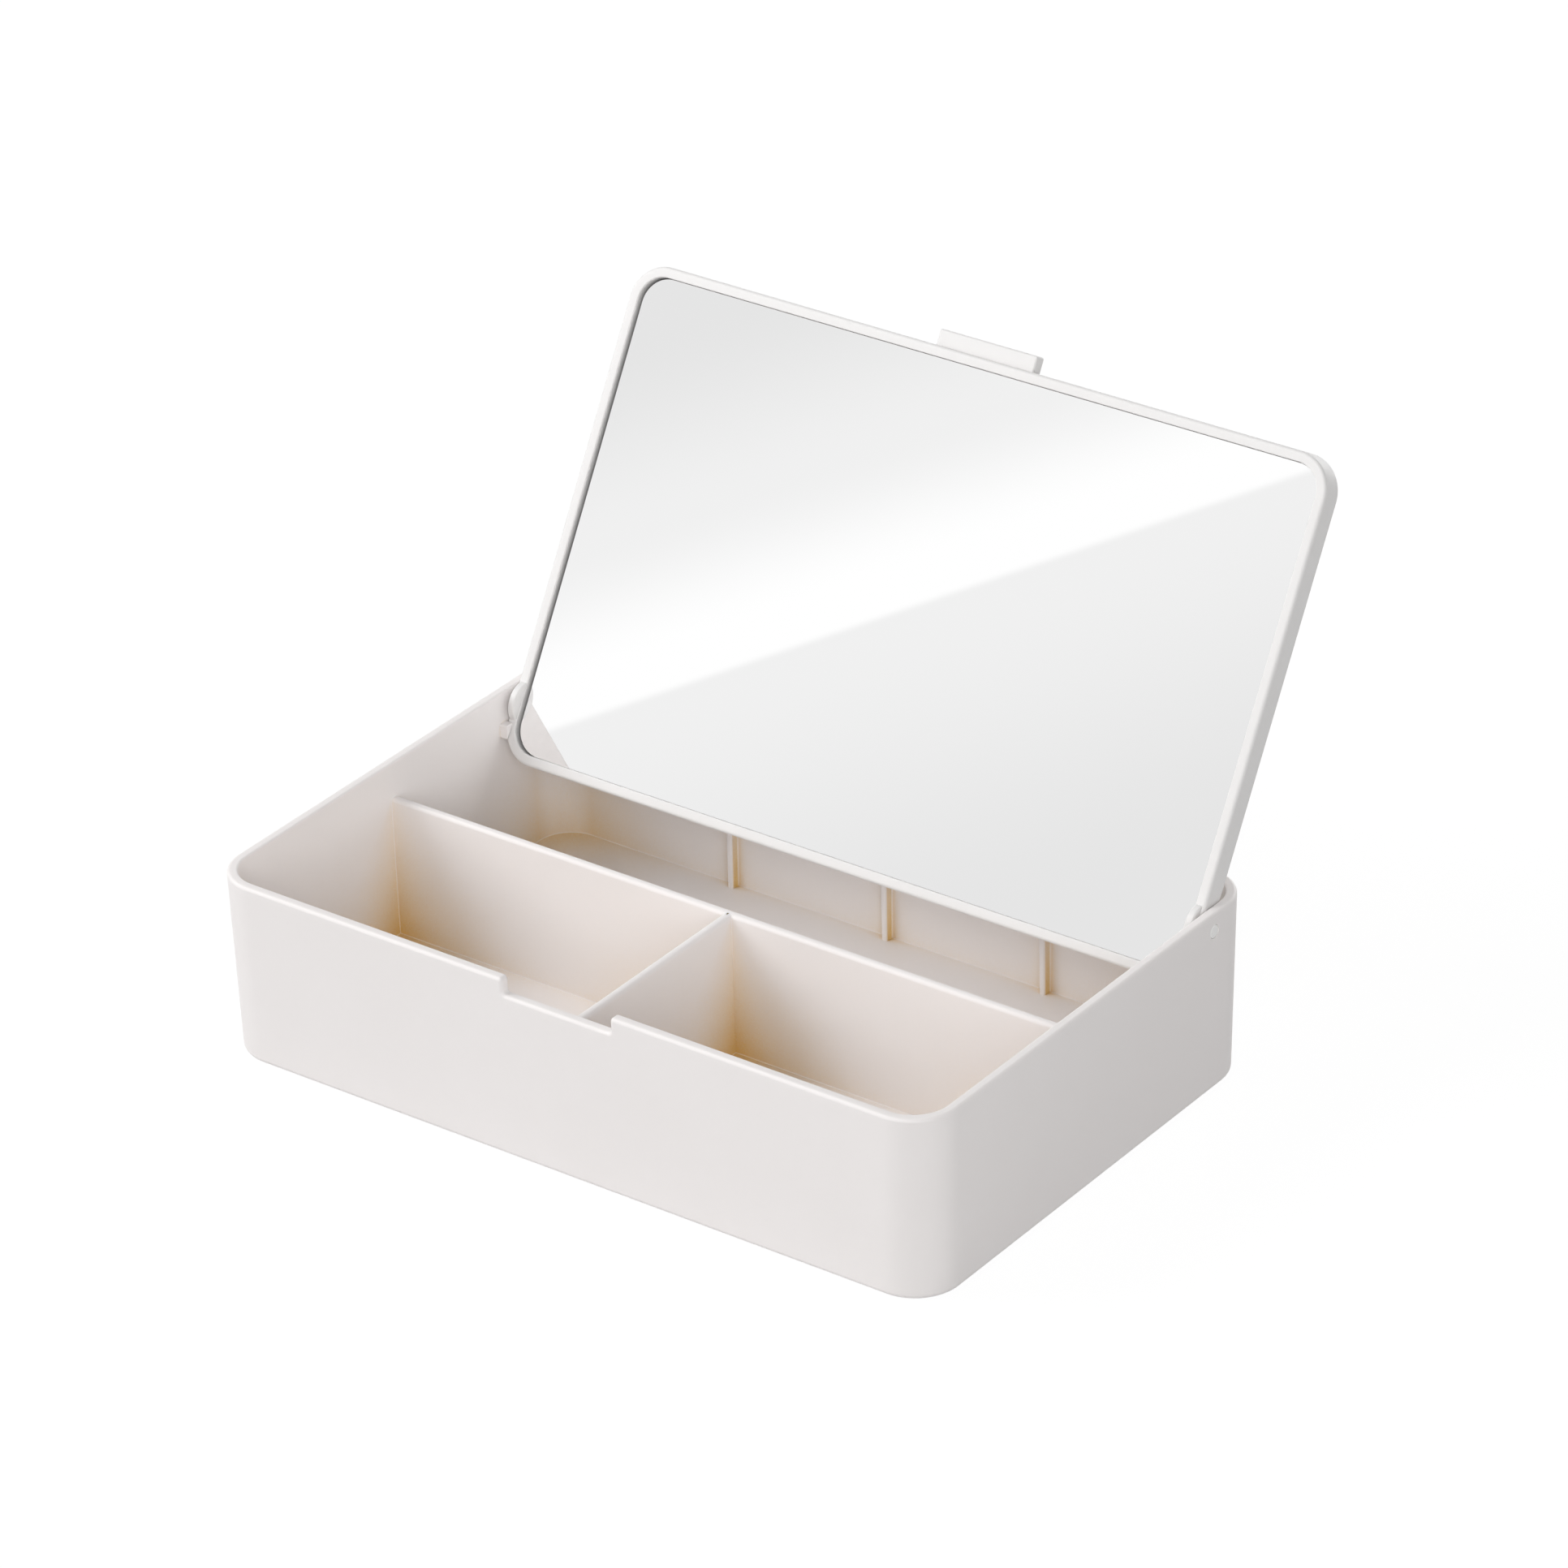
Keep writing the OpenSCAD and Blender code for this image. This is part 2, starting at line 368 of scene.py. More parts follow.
def pin_hole(side):
    """A cutter for the through hole in a side wall, with a chamfer at its outer end."""
    face = TRAY_W / 2 - lean(PIN_Z)
    hole_r = PIN_R + PIN_GAP
    profile = [
        (face - WALL_T - CUT_PAST, hole_r),
        (face - HOLE_CHAMFER, hole_r),
        (face + CUT_PAST, hole_r + HOLE_CHAMFER + CUT_PAST),
    ]
    data = turned("hole", [(side * x, r) for x, r in profile])
    return new_object("hole", in_slot(data, STOP_SLOT))


# Dividers: the sections swell where they run into a wall, which rounds the corner there

def divider_side(flare=0.0):
    """Half of a divider's section as (side, height), from its flat top to below the floor."""
    top = DIVIDER_T / 2
    foot = top + DIVIDER_DRAFT / 2 + DIVIDER_FOOT_R
    side = arc(top - DIVIDER_EDGE_R, DIVIDER_TOP - DIVIDER_EDGE_R, DIVIDER_EDGE_R + flare, 90, 0)
    side += arc(foot, FLOOR_T + DIVIDER_FOOT_R, DIVIDER_FOOT_R - flare, 180, 270)
    return side + [(foot, FLOOR_T - BITE)]


def divider_section(flare=0.0):
    """A divider's whole section as (side, height)."""
    side = divider_side(flare)
    return side + [(-s, z) for s, z in reversed(side)]


def wall_end():
    """(distance from the wall, swelling) of a divider's sections, from inside the wall outwards."""
    return [(-BITE, DIVIDER_END_R)] + arc(DIVIDER_END_R, DIVIDER_END_R, DIVIDER_END_R, 180, 270)


def long_divider(shape):
    """The divider from the left wall to the right one."""
    left = [[(-(inside_x(z) - d), s, z) for s, z in divider_section(f)] for d, f in wall_end()]
    right = [[(inside_x(z) - d, s, z) for s, z in divider_section(f)] for d, f in wall_end()]
    shape.skin(left + right[::-1])


def short_divider(shape):
    """The divider from the front wall to the long one."""
    reach = DIVIDER_T / 2 + JUNCTION_R
    loops = [[(s, -(inside_y(z) - d), z) for s, z in divider_section(f)] for d, f in wall_end()]
    loops.append([(s, BITE - reach, z) for s, z in divider_section()])
    shape.skin(loops)


def divider_junction(shape):
    """Round corners where the dividers meet, as level outlines from the top down."""
    reach = DIVIDER_T / 2 + JUNCTION_R
    back = -(DIVIDER_T / 2 - DIVIDER_EDGE_R)
    loops = []
    for side, z in divider_side():
        r = max(reach - side, LEAST_R)
        left = [(x, y, z) for x, y in arc(-reach, -reach, r, 90, 0)]
        right = [(x, y, z) for x, y in arc(reach, -reach, r, 180, 90)]
        loops.append([(-reach, back, z)] + left + right + [(reach, back, z)])
    shape.skin(loops)


def rear_rib(shape, x):
    """An upright rib on the rear wall, from level outlines. Its top slopes back."""
    front = inside_y(FLOOR_T) - RIB_OUT
    half = RIB_T / 2
    levels = [(FLOOR_T - BITE, 0.0), (RIB_TOP - RIB_OUT, 0.0)]
    levels += [(RIB_TOP - below, behind) for below, behind in RIB_CROWN]
    loops = []
    for z, behind in levels:
        wall = inside_y(z)
        y = front + behind
        outline = [(half + RIB_FOOT_R, wall + BITE)]
        outline += arc(half + RIB_FOOT_R, wall - RIB_FOOT_R, RIB_FOOT_R, 90, 180)
        outline += arc(half - RIB_EDGE_R, y + RIB_EDGE_R, RIB_EDGE_R, 0, -90)
        outline += [(-px, py) for px, py in reversed(outline)]
        loops.append([(x + px, py, z) for px, py in outline])
    shape.skin(loops)


def on_open_lid(u, v):
    """(y, z) of a point u along the open lid from its rear edge, v in front of its mirror side."""
    along = math.radians(180 - OPEN_ANGLE)
    out = math.radians(90 - OPEN_ANGLE)
    y = PIN_Y + (u - PIN_BACK) * math.cos(along) - (PIN_IN + v) * math.cos(out)
    z = PIN_Z + (u - PIN_BACK) * math.sin(along) - (PIN_IN + v) * math.sin(out)
    return y, z


def lid_stop(side):
    """The wedge on a side wall that the open lid leans against, as a mesh."""
    foot = on_open_lid(STOP_LOW, REST_GAP)
    top = on_open_lid(STOP_HIGH, REST_GAP)
    front = foot[0] - STOP_FOOT
    wall = inside_x(foot[1])
    outline = [foot, top, (front, top[1]), (front, foot[1])]
    block = rounded_block(outline, side * (wall - STOP_OUT), side * (wall + BITE), STOP_EDGE_R)
    return in_slot(block, STOP_SLOT)


def make_tray():
    """The tray, one moulding with its dividers, ribs and stops."""
    shell = new_object("tray_shell", tray_shell())
    for side in (-1, 1):
        cut(shell, pin_hole(side))
    inner = Shape()
    long_divider(inner)
    short_divider(inner)
    divider_junction(inner)
    for i in (-1, 0, 1):
        rear_rib(inner, i * RIB_PITCH)
    data = join("tray_moulding", shell.data, inner.mesh("inner"), lid_stop(-1), lid_stop(1))
    bpy.data.objects.remove(shell)
    tray = new_object("tray_moulding", data)
    smooth(tray)
    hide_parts("tray")
    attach(tray, "tray_body")
    return tray


# Lid: drawn shut, with its mirror side down

def lid_ring(inset, height):
    """A level outline of the lid, inset from its edge, at a height above its mirror side."""
    return rounded_ring(LID_W / 2 - inset, LID_L / 2 - inset, INSIDE_R - inset, LID_BOTTOM + height)


def lid_tray(shape):
    """The lid's one skin: recess, lip, edge and outer face."""
    profile = arc(LIP_W + LIP_IN_R, RECESS_D - LIP_IN_R, LIP_IN_R, 90, 180)
    profile += arc(LIP_W - LIP_IN_R, LIP_IN_R, LIP_IN_R, 0, -90)
    profile += arc(LIP_EDGE_R, LIP_EDGE_R, LIP_EDGE_R, 270, 180)
    profile += arc(LID_EDGE_R, LID_T - LID_EDGE_R, LID_EDGE_R, 180, 90)
    shape.skin([lid_ring(inset, height) for inset, height in profile])


def ear(shape, side):
    """A round ear about the pin, whose upper part is inside the lid."""
    outer = LID_W / 2 - EAR_IN
    inner = outer - EAR_T
    cut_z = LID_BOTTOM + LID_EDGE_R
    edge = arc(0, 0, EAR_EDGE_R, 0, 90)
    sections = [(inner + EAR_EDGE_R - dx, EAR_R - EAR_EDGE_R + dr) for dr, dx in reversed(edge)]
    sections += [(outer - EAR_EDGE_R + dx, EAR_R - EAR_EDGE_R + dr) for dr, dx in edge]
    loops = []
    for x, r in sections:
        start = math.degrees(math.asin((cut_z - PIN_Z) / r))
        around = arc(PIN_Y, PIN_Z, r, start, -180 - start, EAR_STEPS)
        loops.append([(side * x, y, z) for y, z in around])
    shape.skin(loops)


def pin(side):
    """A stub pin whose round-edged end is nearly flush with the wall's outer face."""
    end = TRAY_W / 2 - lean(PIN_Z) - PIN_SHORT
    start = LID_W / 2 - LIP_W / 2
    profile = [(start, PIN_R)] + arc(end - PIN_EDGE_R, PIN_R - PIN_EDGE_R, PIN_EDGE_R, 90, 0)
    return in_slot(turned("pin", [(side * x, r) for x, r in profile]), PIN_SLOT)


def finger_tab():
    """The tab that lies in the notch when the lid is shut, as a mesh."""
    root = -LID_L / 2 + LIP_W / 2
    front = -(TRAY_D / 2 + TAB_OUT)
    outline = [(root, TAB_BOTTOM), (root, LID_TOP), (front, LID_TOP), (front, TAB_BOTTOM)]
    return rounded_block(outline, -TAB_W / 2, TAB_W / 2, TAB_EDGE_R)


def swing_open(data):
    """Turns a mesh drawn shut into the open place, about the hinge's axis."""
    axis = Vector((0, PIN_Y, PIN_Z)) * MM
    turn = Matrix.Rotation(math.radians(-OPEN_ANGLE), 4, "X")
    data.transform(Matrix.Translation(axis) @ turn @ Matrix.Translation(-axis))


def make_lid():
    """The lid, one moulding with its ears, tab and pins."""
    shape = Shape()
    lid_tray(shape)
    for side in (-1, 1):
        ear(shape, side)
    data = join("lid_moulding", shape.mesh("lid"), finger_tab(), pin(-1), pin(1))
    swing_open(data)
    lid = new_object("lid_moulding", data)
    smooth(lid)
    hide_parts("lid_frame")
    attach(lid, "lid_body")
    return lid


def pane_ring(inset, z):
    """A level outline of the pane, which leaves a gap on the left and is snug elsewhere."""
    half_x = (MIRROR_W + PANE_SNUG - PANE_LEFT) / 2 - inset
    half_y = (MIRROR_L + PANE_SNUG + PANE_TOP) / 2 - inset
    r = INSIDE_R - LIP_W - inset
    right_end = 2 * (CORNER_STEPS + 1)
    ring = rounded_ring(half_x, half_y, r, z)[:right_end]
    ring += rounded_ring(half_x, half_y, r + PANE_CORNER, z)[right_end:]
    dx, dy = (PANE_SNUG + PANE_LEFT) / 2, (PANE_SNUG - PANE_TOP) / 2
    return [(x + dx, y + dy, z) for x, y, z in ring]


def make_mirror():
    """The pane, with a fine bevel round its face, a ground edge and a painted back."""
    near, far = LID_BOTTOM + MIRROR_SET, LID_BOTTOM + MIRROR_SET + MIRROR_T
    levels = [
        (MIRROR_BEVEL, near), (0.0, near + MIRROR_BEVEL),
        (0.0, far - MIRROR_BEVEL), (MIRROR_BEVEL, far),
    ]
    shape = Shape()
    shape.skin([pane_ring(inset, z) for inset, z in levels])
    data = shape.mesh("mirror_pane")
    for face in data.polygons:
        if abs(face.normal.z) < EDGE_TILT:
            face.material_index = EDGE_SLOT
        elif face.normal.z > 0:
            face.material_index = BACK_SLOT
    swing_open(data)
    pane = new_object("mirror_pane", data)
    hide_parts("mirror")
    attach(pane, "lid_body")
    return pane


# Materials. Noise is in the piece's own metres: its scale is in lumps to the metre.

TRAY_LIGHT = (0.945, 0.91, 0.9)
TRAY_DARK = (0.93, 0.893, 0.88)
# Painted shade: the colour that the tray's corners and creases go towards where they are closed in
TRAY_PAINTED_SHADE = (0.8, 0.53, 0.17)
# The lid's plastic is a little darker than the tray's: painted shade that evens out the stronger
# light on the lid, which stands nearer the lamps
LID_LIGHT = (0.88, 0.868, 0.86)
LID_DARK = (0.868, 0.855, 0.846)
# Painted shade: the colour that the lid's corners and creases go towards where they are closed in
LID_PAINTED_SHADE = (0.70, 0.69, 0.68)
# Painted light: the pins' ends are whiter than the plastic round them, for the light that their ends
# catch
PIN_LIGHT = (0.99, 0.98, 0.97)
PIN_DARK = (0.975, 0.965, 0.955)
SILVER_DARK = (0.925, 0.925, 0.925)
SILVER_LIGHT = (0.935, 0.935, 0.935)
# The ground edge is near black: partly the glass's own edge, partly painted shade of the narrow gap
# round the pane
GROUND_DARK = (0.035, 0.037, 0.036)
GROUND_LIGHT = (0.07, 0.073, 0.071)
PAINT_DARK = (0.25, 0.26, 0.28)
PAINT_LIGHT = (0.31, 0.32, 0.34)
FOAM_DARK = (0.72, 0.72, 0.7)
FOAM_LIGHT = (0.8, 0.8, 0.78)

PLASTIC_IOR = 1.49
GLASS_IOR = 1.52
FOAM_CELLS = 2200

# Painted shade colour in corners and creases: its reach in metres, and how open a spot is when it has
# all and none of the colour
SHADE_REACH = 0.05
SHADE_FULL = 0.26
SHADE_NONE = 0.68
SHADE_POWER = 3.0
SHADE_RAYS = 8


class Nodes:
    """A node tree with short ways to add and join nodes."""

    def __init__(self, owner):
        owner.use_nodes = True
        self.tree = owner.node_tree

    def add(self, kind, **values):
        node = self.tree.nodes.new(kind)
        for key, value in values.items():
            setattr(node, key, value)
        return node

    def link(self, out, into):
        self.tree.links.new(out, into)


class Finish(Nodes):
    """A material on Blender's Principled shader."""

    def __init__(self, name):
        self.material = bpy.data.materials.new(name)
        super().__init__(self.material)
        self.shader = self.tree.nodes["Principled BSDF"]

    def set(self, **values):
        """Numbers on the shader's own sockets."""
        for key, value in values.items():
            self.shader.inputs[key].default_value = value

    def drive(self, socket, out):
        """Joins a node's output to one of the shader's sockets."""
        self.link(out, self.shader.inputs[socket])

    def noise(self, scale, detail, roughness=0.5):
        """Cloudy noise from 0 to 1."""
        place = self.add("ShaderNodeTexCoord")
        node = self.add("ShaderNodeTexNoise")
        node.inputs["Scale"].default_value = scale
        node.inputs["Detail"].default_value = detail
        node.inputs["Roughness"].default_value = roughness
        self.link(place.outputs["Object"], node.inputs["Vector"])
        return node.outputs["Fac"]

    def cells(self, scale):
        """Round cells: how far each spot is from the middle of its cell."""
        place = self.add("ShaderNodeTexCoord")
        node = self.add("ShaderNodeTexVoronoi")
        node.inputs["Scale"].default_value = scale
        self.link(place.outputs["Object"], node.inputs["Vector"])
        return node.outputs["Distance"]

    def spread(self, value, low, high):
        """A value from 0 to 1 as one between low and high."""
        node = self.add("ShaderNodeMapRange")
        node.inputs["To Min"].default_value = low
        node.inputs["To Max"].default_value = high
        self.link(value, node.inputs["Value"])
        return node.outputs["Result"]

    def between(self, value, a, b):
        """A mix of two colours. Each is a colour or another node's output."""
        node = self.add("ShaderNodeMix", data_type="RGBA")
        for socket, colour in (("A", a), ("B", b)):
            if isinstance(colour, tuple):
                node.inputs[socket].default_value = (*colour, 1)
            else:
                self.link(colour, node.inputs[socket])
        self.link(value, node.inputs["Factor"])
        return node.outputs["Result"]

    def bump(self, height, distance, strength, below=None):
        """Relief of a height in metres, over the relief below it."""
        node = self.add("ShaderNodeBump")
        node.inputs["Distance"].default_value = distance
        node.inputs["Strength"].default_value = strength
        self.link(height, node.inputs["Height"])
        if below is not None:
            self.link(below, node.inputs["Normal"])
        return node.outputs["Normal"]


def painted_corner_shade(finish):
    """The share of the painted shade colour at a spot, from how far the piece's own walls close it
    in.
    """
    corner = finish.add("ShaderNodeAmbientOcclusion", samples=SHADE_RAYS, only_local=True)
    corner.inputs["Distance"].default_value = SHADE_REACH
    depth = finish.add("ShaderNodeMapRange")
    depth.inputs["From Min"].default_value = SHADE_NONE
    depth.inputs["From Max"].default_value = SHADE_FULL
    finish.link(corner.outputs["AO"], depth.inputs["Value"])
    share = finish.add("ShaderNodeMath", operation="POWER")
    share.inputs[1].default_value = SHADE_POWER
    finish.link(depth.outputs["Result"], share.inputs[0])
    return share.outputs[0]


def moulded_plastic(name, light, dark, shade):
    """Satin plastic: faint flow marks, a fine eroded grain, and painted shade in its corners and
    creases.
    """
    finish = Finish(name)
    cloud = finish.spread(finish.noise(scale=28, detail=4), low=-0.4, high=1.4)
    flow = finish.between(cloud, light, dark)
    # Painted shade: the colour goes towards the shade colour where the piece's own walls close a spot
    # in
    finish.drive("Base Color", finish.between(painted_corner_shade(finish), flow, shade))
    satin = finish.noise(scale=420, detail=5, roughness=0.6)
    finish.drive("Roughness", finish.spread(satin, low=0.4, high=0.56))
    waves = finish.bump(finish.noise(scale=16, detail=1), distance=0.00025, strength=0.35)
    grain = finish.noise(scale=3600, detail=2)
    finish.drive("Normal", finish.bump(grain, distance=0.00002, strength=0.5, below=waves))
    finish.set(IOR=PLASTIC_IOR)
    return finish.material


def polished_end():
    """The pins' ends: the same plastic, polished by the hole that they turn in, with a whiter colour
    as painted light.
    """
    finish = Finish("polished_end")
    finish.drive("Base Color", finish.between(finish.noise(scale=300, detail=3), PIN_LIGHT, PIN_DARK))
    wear = finish.noise(scale=800, detail=3)
    finish.drive("Roughness", finish.spread(wear, low=0.2, high=0.3))
    finish.set(IOR=PLASTIC_IOR)
    return finish.material


def silvered_glass():
    """The mirror's face, with faint smears."""
    finish = Finish("silvered_glass")
    smears = finish.noise(scale=22, detail=3)
    finish.drive("Roughness", finish.spread(smears, low=0.0, high=0.01))
    silver = finish.noise(scale=9, detail=2)
    finish.drive("Base Color", finish.between(silver, SILVER_DARK, SILVER_LIGHT))
    finish.set(Metallic=1.0)
    return finish.material


def ground_glass():
    """The pane's edge, finely ground and near black: partly the glass's own dark edge, partly painted
    shade of the gap round the pane.
    """
    finish = Finish("ground_glass")
    tint = finish.noise(scale=700, detail=3)
    finish.drive("Base Color", finish.between(tint, GROUND_DARK, GROUND_LIGHT))
    scratches = finish.noise(scale=2600, detail=2)
    finish.drive("Normal", finish.bump(scratches, distance=0.00003, strength=0.5))
    finish.set(Roughness=0.32, IOR=GLASS_IOR)
    return finish.material


def back_paint():
    """The grey paint on the pane's back."""
    finish = Finish("back_paint")
    tint = finish.noise(scale=60, detail=4)
    finish.drive("Base Color", finish.between(tint, PAINT_DARK, PAINT_LIGHT))
    peel = finish.noise(scale=900, detail=2)
    finish.drive("Normal", finish.bump(peel, distance=0.00005, strength=0.4))
    finish.set(Roughness=0.55)
    return finish.material


def foam():
    """Closed-cell foam: small round cells."""
    finish = Finish("foam")
    cells = finish.cells(scale=FOAM_CELLS)
    finish.drive("Base Color", finish.between(cells, FOAM_DARK, FOAM_LIGHT))
    finish.drive("Normal", finish.bump(cells, distance=0.0001, strength=0.6))
    finish.set(Roughness=0.85)
    return finish.material


def give(obj, *materials):
    """Adds material slots to an object, in order."""
    for material in materials:
        obj.data.materials.append(material)


# Pieces and their materials

tray = make_tray()
lid = make_lid()
mirror = make_mirror()

give(
    tray,
    moulded_plastic("tray_plastic", TRAY_LIGHT, TRAY_DARK, TRAY_PAINTED_SHADE),
    # The stops take no painted shade: their shade colour is the tray's light one
    moulded_plastic("stop_plastic", TRAY_LIGHT, TRAY_DARK, TRAY_LIGHT),
)
give(lid, moulded_plastic("lid_plastic", LID_LIGHT, LID_DARK, LID_PAINTED_SHADE), polished_end())
give(mirror, silvered_glass(), ground_glass(), back_paint())
foam_material = foam()
for name in ("tape_left", "tape_middle", "tape_right"):
    strip = frame["nodes"][name]
    strip.data.materials.clear()
    give(strip, foam_material)


# Camera, fitted to the photograph's straight edges

PHOTO_PX = 1932
FOCAL_PX = 9417.36
SENSOR_MM = 36.0
AZIMUTH = 36.951
ELEVATION = 28.908
ROLL = -1.631
EYE = Vector((1002.78, -1309.31, 988.05)) * MM
CLIP_END = 50


def direction(azimuth, elevation):
    """The way to a place round the box: degrees to the right of its front, and degrees up."""
    a, e = math.radians(azimuth), math.radians(elevation)
    return Vector((math.sin(a) * math.cos(e), -math.cos(a) * math.cos(e), math.sin(e)))


def camera_axes():
    """The camera's right, up and back directions."""
    back = direction(AZIMUTH, ELEVATION)
    right = (-back).cross(Vector((0, 0, 1))).normalized()
    up = back.cross(right)
    r = math.radians(ROLL)
    return math.cos(r) * right + math.sin(r) * up, math.cos(r) * up - math.sin(r) * right, back


def placed(x, y, z, origin):
    """A placement whose axes are three directions."""
    turn = Matrix((x, y, z)).transposed().to_4x4()
    return Matrix.Translation(origin) @ turn


def make_camera():
    """A long lens, with the photograph's frame."""
    data = bpy.data.cameras.new("camera")
    data.sensor_width = SENSOR_MM
    data.lens = FOCAL_PX / PHOTO_PX * SENSOR_MM
    data.clip_end = CLIP_END
    obj = new_object("camera", data)
    obj.matrix_world = placed(*camera_axes(), EYE)
    bpy.context.scene.camera = obj


# Stage: pale floor, white surroundings, soft light. Power is in watts.

FLOOR_SIZE = 6.0
FLOOR_WHITE = 0.6
FLOOR_SHOWN_WHITE = 0.85   # the share of plain white in the floor as the camera sees it
FLOOR_GLOW = 1.11          # how bright that white is
WORLD_LEVEL = 0.28         # how strongly the surroundings light the object
LAMP_DISTANCE = 1.6
LAMPS = {
    "key": {"azimuth": -62, "elevation": 39, "size": 1.2, "power": 15.8},
    "fill": {"azimuth": 42, "elevation": 24, "size": 1.0, "power": 9.6},
    "back": {"azimuth": 180, "elevation": 12, "size": 1.0, "power": 8.5},
}


def stage_nodes(owner):
    """An empty node tree for a stage material or the world."""
    nodes = Nodes(owner)
    nodes.tree.nodes.clear()
    return nodes


def seen_by(nodes, first_ray, *other_rays):
    """1 for these kinds of ray, and 0 for the rays that light the object."""
    path = nodes.add("ShaderNodeLightPath")
    share = path.outputs[first_ray]
    for ray in other_rays:
        either = nodes.add("ShaderNodeMath", operation="MAXIMUM")
        nodes.link(share, either.inputs[0])
        nodes.link(path.outputs[ray], either.inputs[1])
        share = either.outputs[0]
    return share


def square(name, size):
    """A flat square of a size in metres."""
    half = size / 2
    corners = [(-half, -half, 0), (half, -half, 0), (half, half, 0), (-half, half, 0)]
    data = bpy.data.meshes.new(name)
    data.from_pydata(corners, [], [(0, 1, 2, 3)])
    return data


def add_floor():
    """A pale floor that takes shadows, and looks white to the camera and in reflections."""
    floor = new_object("floor", square("floor", FLOOR_SIZE))
    material = bpy.data.materials.new("floor")
    nodes = stage_nodes(material)
    share = nodes.add("ShaderNodeMath", operation="MULTIPLY")
    share.inputs[1].default_value = FLOOR_SHOWN_WHITE
    diffuse = nodes.add("ShaderNodeBsdfDiffuse")
    diffuse.inputs["Color"].default_value = (FLOOR_WHITE, FLOOR_WHITE, FLOOR_WHITE, 1)
    white = nodes.add("ShaderNodeEmission")
    white.inputs["Strength"].default_value = FLOOR_GLOW
    mix = nodes.add("ShaderNodeMixShader")
    out = nodes.add("ShaderNodeOutputMaterial")
    nodes.link(seen_by(nodes, "Is Camera Ray", "Is Glossy Ray"), share.inputs[0])
    nodes.link(share.outputs[0], mix.inputs["Fac"])
    nodes.link(diffuse.outputs[0], mix.inputs[1])
    nodes.link(white.outputs[0], mix.inputs[2])
    nodes.link(mix.outputs[0], out.inputs["Surface"])
    give(floor, material)


def set_world():
    """Surroundings that light the object gently and look white."""
    world = bpy.data.worlds.new("studio")
    bpy.context.scene.world = world
    nodes = stage_nodes(world)
    level = nodes.add("ShaderNodeMapRange")
    level.inputs["To Min"].default_value = WORLD_LEVEL
    level.inputs["To Max"].default_value = 1.0
    background = nodes.add("ShaderNodeBackground")
    background.inputs["Color"].default_value = (1, 1, 1, 1)
    out = nodes.add("ShaderNodeOutputWorld")
    seen = seen_by(nodes, "Is Camera Ray", "Is Glossy Ray", "Is Transmission Ray")
    nodes.link(seen, level.inputs["Value"])
    nodes.link(level.outputs["Result"], background.inputs["Strength"])
    nodes.link(background.outputs[0], out.inputs["Surface"])


def add_lamp(name, azimuth, elevation, size, power):
    """A round soft lamp that faces the box."""
    data = bpy.data.lights.new(name, "AREA")
    data.shape = "DISK"
    data.size = size
    data.energy = power
    obj = new_object(name, data)
    towards = direction(azimuth, elevation)
    obj.location = towards * LAMP_DISTANCE
    obj.rotation_mode = "QUATERNION"
    obj.rotation_quaternion = towards.to_track_quat("Z", "Y")


# Studio card that the mirror shows: a white band with one sharp edge across a grey field.
# Its measures, apart from its size and distance, are in the photograph's pixels.

CARD_DISTANCE = 2.9
CARD_SIZE = 3.2
BAND_X, BAND_Y = 1130.0, 745.5   # a point on the band's sharp edge
BAND_SLOPE = -0.342              # how far the edge drops for each pixel to the right
BAND_BLUR = 6
BAND_WIDE = 50
FADE_END = 200
FIELD_END = 420
BAND_TONE = 1.0
FIELD_TONE = 0.875
FAR_TONE = 0.785
SILVER = 0.93                    # what the mirror gives back, which the card makes up for


def mirrored_camera():
    """The camera's right, up and back directions and its place, as the mirror shows them."""
    out = math.radians(90 - OPEN_ANGLE)
    normal = Vector((0, -math.cos(out), -math.sin(out)))
    face = Vector((0, *on_open_lid(0, -MIRROR_SET))) * MM
    axes = [axis - 2 * axis.dot(normal) * normal for axis in camera_axes()]
    return *axes, EYE - 2 * (EYE - face).dot(normal) * normal


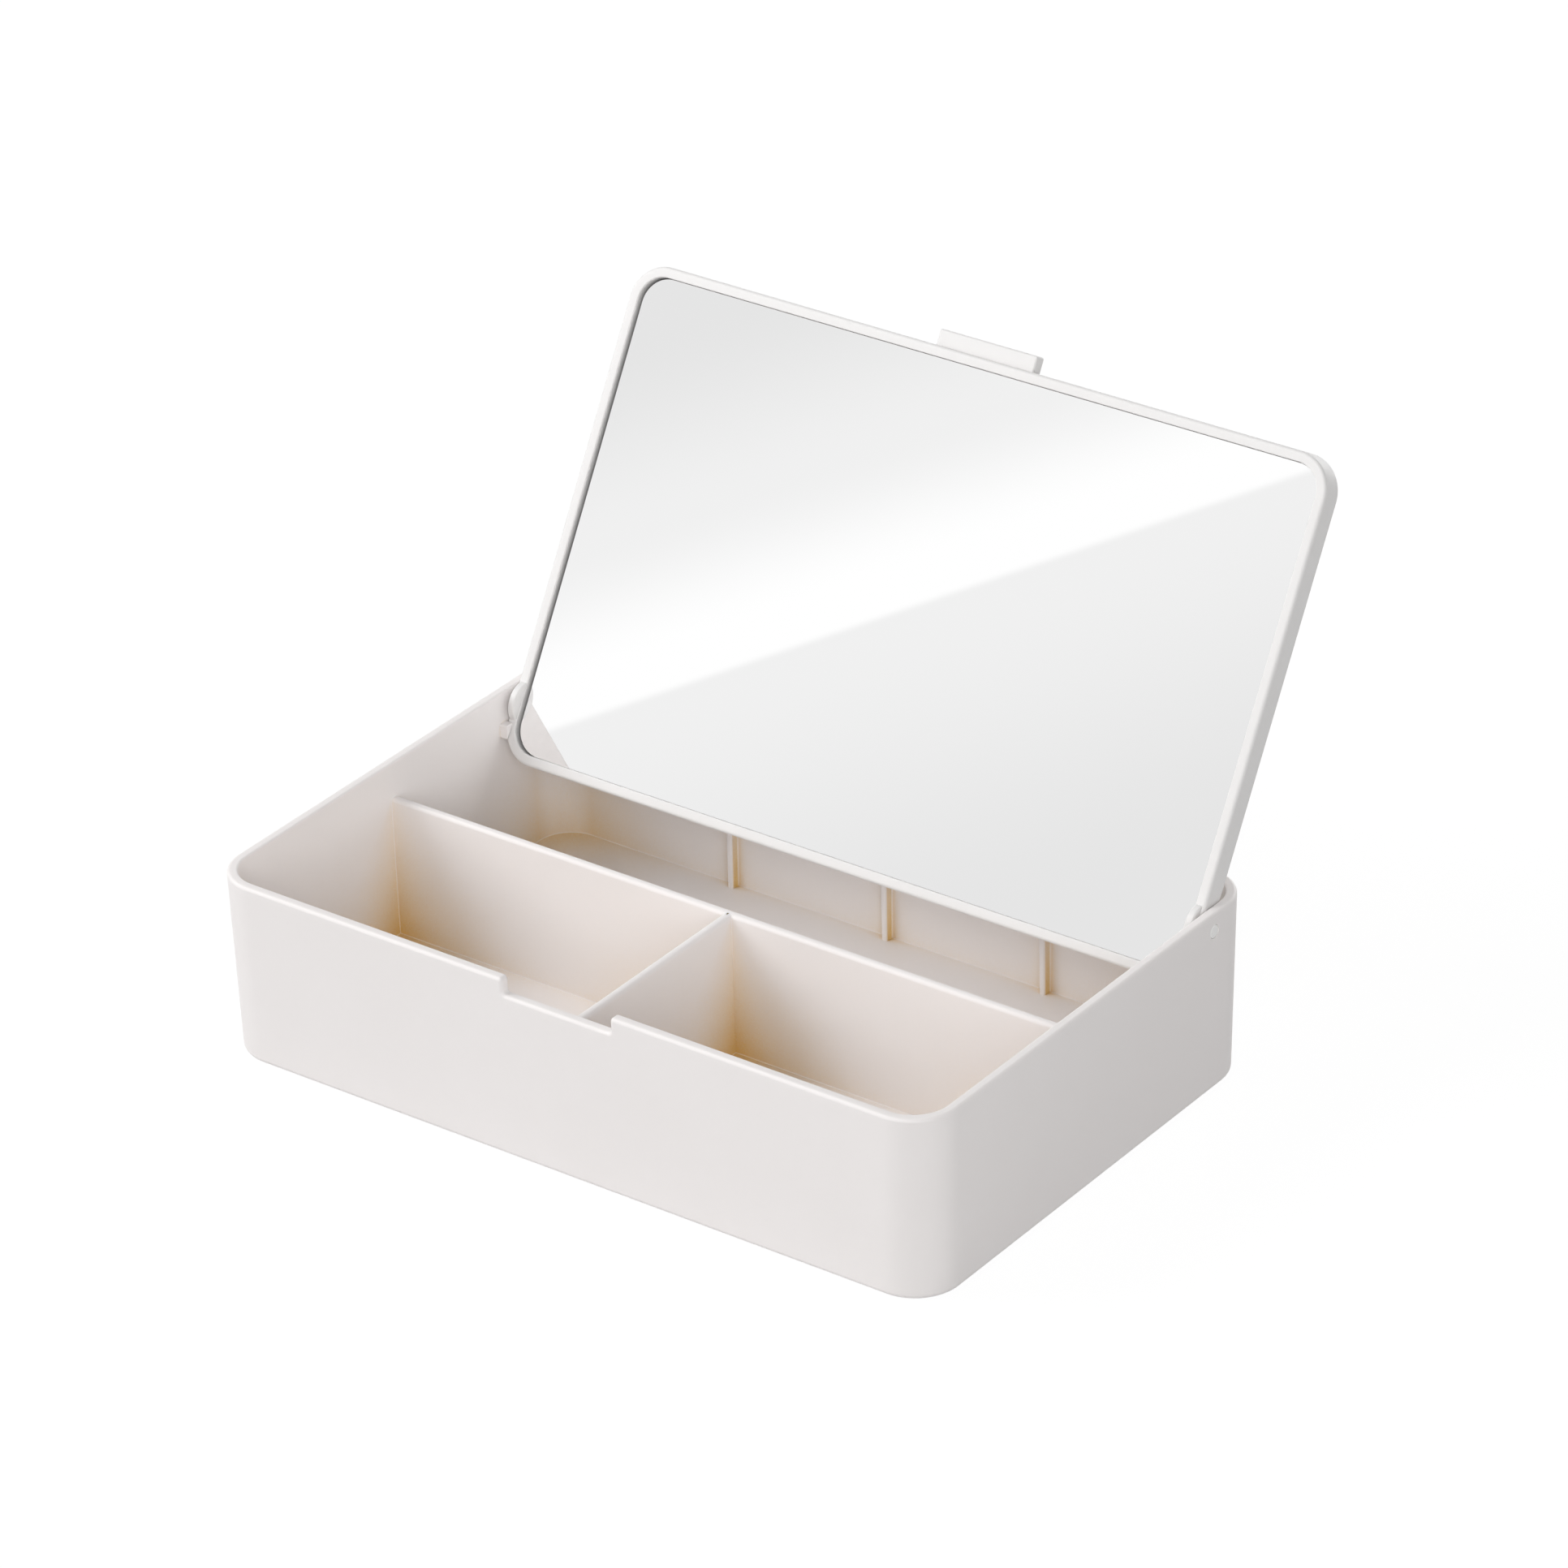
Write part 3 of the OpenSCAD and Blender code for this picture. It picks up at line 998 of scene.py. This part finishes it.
def card_material(per_px):
    """The band and the field, across the card's Y axis."""
    material = bpy.data.materials.new("card")
    nodes = stage_nodes(material)
    place = nodes.add("ShaderNodeTexCoord")
    split = nodes.add("ShaderNodeSeparateXYZ")
    reach = nodes.add("ShaderNodeMapRange")
    reach.inputs["From Min"].default_value = -FIELD_END * per_px
    reach.inputs["From Max"].default_value = FIELD_END * per_px
    ramp = nodes.add("ShaderNodeValToRGB")
    ramp.color_ramp.interpolation = "EASE"
    tones = (
        (-FIELD_END, FAR_TONE), (-BAND_BLUR, FIELD_TONE), (BAND_BLUR, BAND_TONE),
        (BAND_WIDE, BAND_TONE), (FADE_END, FIELD_TONE), (FIELD_END, FAR_TONE),
    )
    stops = ramp.color_ramp.elements
    while len(stops) < len(tones):
        stops.new(0.5)
    for stop, (px, tone) in zip(stops, tones):
        stop.position = (px / FIELD_END + 1) / 2
        stop.color = (tone, tone, tone, 1)
    glow = nodes.add("ShaderNodeEmission")
    glow.inputs["Strength"].default_value = 1 / SILVER
    out = nodes.add("ShaderNodeOutputMaterial")
    nodes.link(place.outputs["Object"], split.inputs[0])
    nodes.link(split.outputs["Y"], reach.inputs["Value"])
    nodes.link(reach.outputs["Result"], ramp.inputs["Fac"])
    nodes.link(ramp.outputs["Color"], glow.inputs["Color"])
    nodes.link(glow.outputs[0], out.inputs["Surface"])
    return material


def add_card():
    """The card, square to the mirrored camera, so that the photograph's pixels lie straight on it."""
    right, up, back, eye = mirrored_camera()
    per_px = CARD_DISTANCE / FOCAL_PX
    origin = eye - CARD_DISTANCE * back
    origin += (BAND_X - PHOTO_PX / 2) * per_px * right - (BAND_Y - PHOTO_PX / 2) * per_px * up
    along = (right - BAND_SLOPE * up).normalized()
    across = (up + BAND_SLOPE * right).normalized()
    card = new_object("card", square("card", CARD_SIZE))
    card.matrix_world = placed(along, across, along.cross(across), origin)
    card.visible_camera = False
    card.visible_diffuse = False
    card.visible_shadow = False
    card.visible_transmission = False
    give(card, card_material(per_px))


make_camera()
add_floor()
set_world()
for name, facts in LAMPS.items():
    add_lamp(name, **facts)
add_card()
bpy.context.scene.view_settings.view_transform = "Standard"
